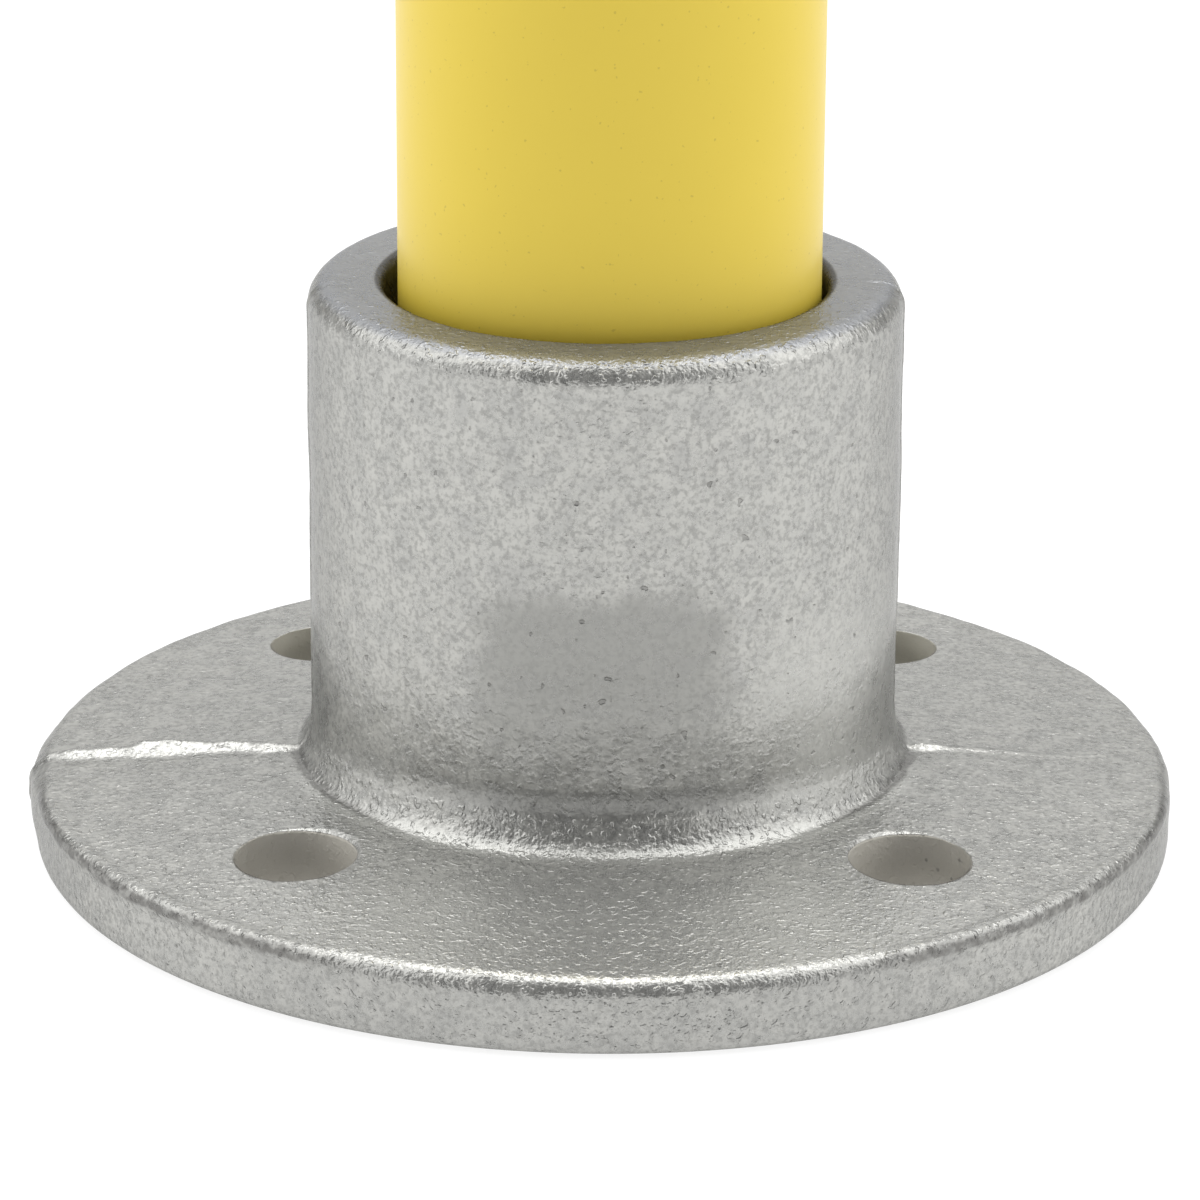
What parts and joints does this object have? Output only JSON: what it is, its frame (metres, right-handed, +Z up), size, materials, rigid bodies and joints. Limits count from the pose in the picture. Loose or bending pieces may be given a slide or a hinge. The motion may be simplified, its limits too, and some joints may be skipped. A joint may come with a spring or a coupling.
{
  "type": "stanchion base",
  "caption": "Round cast flange base with a tall clamping socket that holds an upright tube by set screws, for bolting a guard rail stanchion to a deck.",
  "frame": {"origin": "centre of the flange's underside, on the deck", "axes": "+Z up along the socket and tube; the set screws are on the +Y side, and -Y is the plain front"},
  "size_m": [0.133, 0.133, 0.15],
  "materials": {
    "galvanised_iron": "hot-dip galvanised casting, satin, finely pitted",
    "yellow_powder_coat": "satin powder coat",
    "zinc_plated_steel": "dull zinc plating"
  },
  "bodies": {
    "casting": {"base_casting": "galvanised_iron"},
    "tube": {"stanchion_tube": "yellow_powder_coat"},
    "upper_screw": {"upper_set_screw": "zinc_plated_steel"},
    "lower_screw": {"lower_set_screw": "zinc_plated_steel"}
  },
  "joints": [
    {"name": "tube_slide", "type": "slide", "parent": "casting", "child": "tube", "axis": [0, 0, 1], "range_m": [0, 0.075]},
    {"name": "upper_screw_travel", "type": "slide", "parent": "casting", "child": "upper_screw", "axis": [0, 1, 0], "range_m": [0, 0.006]},
    {"name": "lower_screw_travel", "type": "slide", "parent": "casting", "child": "lower_screw", "axis": [0, 1, 0], "range_m": [0, 0.006]}
  ]
}
